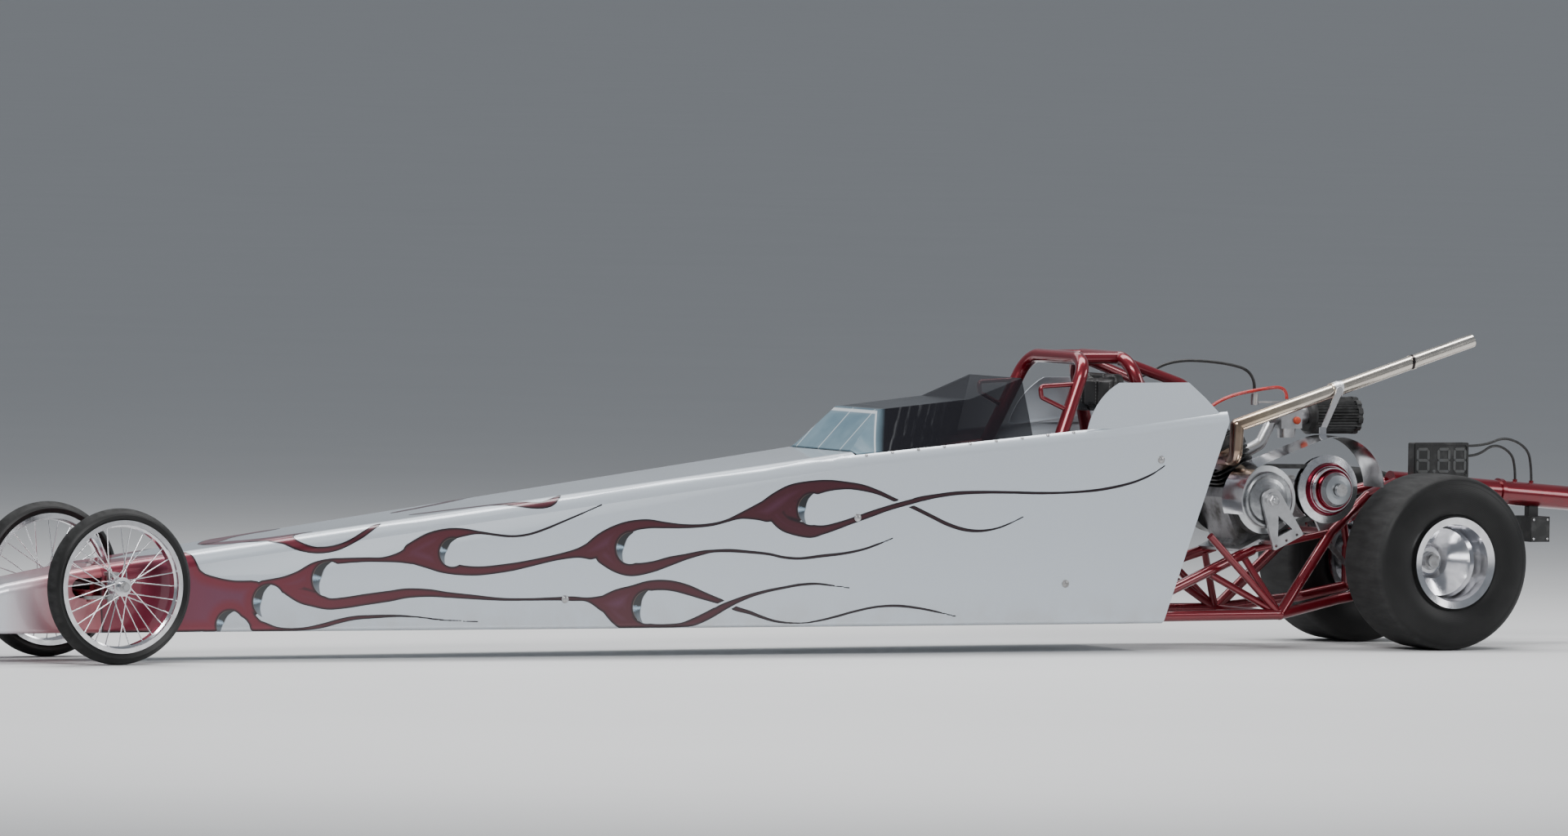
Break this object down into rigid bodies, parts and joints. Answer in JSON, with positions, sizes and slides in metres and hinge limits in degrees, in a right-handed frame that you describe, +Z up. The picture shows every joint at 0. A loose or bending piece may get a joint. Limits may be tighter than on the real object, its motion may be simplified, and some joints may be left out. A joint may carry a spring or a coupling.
{
  "type": "junior drag racing car",
  "caption": "Half-scale rear-engined drag racing car: long wedge body, roll cage, open single-cylinder belt drive, wire front wheels, wide slicks and a wheelie bar.",
  "frame": {"origin": "on the ground, midway between the nose's tip and the wheelie bar's wheels, on the centre line", "axes": "+Z up; the nose points along -X; the driver's left is -Y"},
  "size_m": [5.07, 0.6524, 0.8147],
  "materials": {
    "pearl_paint": "pearl gloss",
    "candy_red": "candy gloss",
    "polished_aluminium": "polished",
    "satin_aluminium": "satin",
    "red_anodised": "anodised",
    "stainless": "polished",
    "steel": "machined",
    "black_paint": "satin",
    "engine_casting": "as cast",
    "tyre_rubber": "matt",
    "belt_rubber": "matt",
    "smoked_screen": "smoked gloss",
    "black_plastic": "matt",
    "pad_vinyl": "grained",
    "hose_red": "satin",
    "hose_black": "satin"
  },
  "bodies": {
    "chassis": {"frame_left": "candy_red", "frame_right": "candy_red", "frame_crossbars": "candy_red", "rear_frame": "candy_red", "fuel_line": "hose_red", "vent_hose": "hose_black", "board_wire_front": "hose_black", "board_wire_rear": "hose_black", "roll_cage": "candy_red", "nose_cone": "pearl_paint", "body_left": "pearl_paint", "body_right": "pearl_paint", "front_cowl": "pearl_paint", "belly_pan": "pearl_paint", "windscreen": "smoked_screen", "firewall": "satin_aluminium", "seat": "satin_aluminium", "seat_pad": "pad_vinyl", "head_pad": "pad_vinyl", "front_axle": "candy_red", "column_sleeve": "candy_red", "crankcase": "engine_casting", "fan_housing": "black_paint", "cylinder": "black_paint", "cylinder_head": "black_paint", "engine_mount": "satin_aluminium", "exhaust_pipe": "stainless", "exhaust_strut": "satin_aluminium", "carburettor": "satin_aluminium", "air_filter": "black_plastic", "drive_belt": "belt_rubber", "drive_clutch": "satin_aluminium", "driven_clutch": "polished_aluminium", "support_plate": "satin_aluminium", "belt_guard": "polished_aluminium", "jack_plates": "satin_aluminium", "jackshaft": "steel", "drive_chain": "steel", "brake_caliper": "satin_aluminium", "axle_carriers": "satin_aluminium", "tail_boom": "candy_red", "dial_board": "black_plastic", "control_box": "black_plastic"},
    "steering": {"steering_wheel": "black_plastic"},
    "steering_knuckle_left": {"knuckle_left": "steel"},
    "steering_knuckle_right": {"knuckle_right": "steel"},
    "steering_link": {"tie_rod": "candy_red"},
    "front_roller_left": {"front_wheel_left": "polished_aluminium", "front_tyre_left": "tyre_rubber"},
    "front_roller_right": {"front_wheel_right": "polished_aluminium", "front_tyre_right": "tyre_rubber"},
    "rear_axle_set": {"rear_axle": "steel", "axle_sprocket": "red_anodised", "brake_disc": "steel", "rear_wheel_left": "polished_aluminium", "rear_wheel_right": "polished_aluminium", "rear_tyre_left": "tyre_rubber", "rear_tyre_right": "tyre_rubber"},
    "tail_roller_left": {"tail_wheel_left": "belt_rubber"},
    "tail_roller_right": {"tail_wheel_right": "belt_rubber"}
  },
  "joints": [
    {"name": "steering_turn", "type": "hinge", "parent": "chassis", "child": "steering", "pos_m": [0.315, 0, 0.522], "axis": [0.9063, 0, 0.4226], "range_deg": [-48, 48]},
    {"name": "knuckle_left_turn", "type": "hinge", "parent": "chassis", "child": "steering_knuckle_left", "pos_m": [-2.075, -0.15, 0.195], "axis": [0, 0, 1], "range_deg": [-12, 12]},
    {"name": "knuckle_right_turn", "type": "hinge", "parent": "chassis", "child": "steering_knuckle_right", "pos_m": [-2.075, 0.15, 0.195], "axis": [0, 0, 1], "range_deg": [-12, 12]},
    {"name": "tie_rod_slide", "type": "slide", "parent": "chassis", "child": "steering_link", "axis": [0, -1, 0], "range_m": [-0.0121, 0.0121]},
    {"name": "front_wheel_left_spin", "type": "hinge", "parent": "steering_knuckle_left", "child": "front_roller_left", "pos_m": [-2.075, -0.2025, 0.195], "axis": [0, 1, 0], "continuous": true},
    {"name": "front_wheel_right_spin", "type": "hinge", "parent": "steering_knuckle_right", "child": "front_roller_right", "pos_m": [-2.075, 0.2025, 0.195], "axis": [0, 1, 0], "continuous": true},
    {"name": "rear_axle_spin", "type": "hinge", "parent": "chassis", "child": "rear_axle_set", "pos_m": [1.735, 0, 0.228], "axis": [0, 1, 0], "continuous": true},
    {"name": "tail_wheel_left_spin", "type": "hinge", "parent": "chassis", "child": "tail_roller_left", "pos_m": [2.491, -0.062, 0.07], "axis": [0, 1, 0], "continuous": true},
    {"name": "tail_wheel_right_spin", "type": "hinge", "parent": "chassis", "child": "tail_roller_right", "pos_m": [2.491, 0.062, 0.07], "axis": [0, 1, 0], "continuous": true}
  ],
  "couplings": [
    {"joint": "knuckle_left_turn", "follows": "steering_turn", "ratio": 0.25},
    {"joint": "knuckle_right_turn", "follows": "steering_turn", "ratio": 0.25},
    {"joint": "tie_rod_slide", "follows": "steering_turn", "m_per_rad": 0.014394}
  ]
}
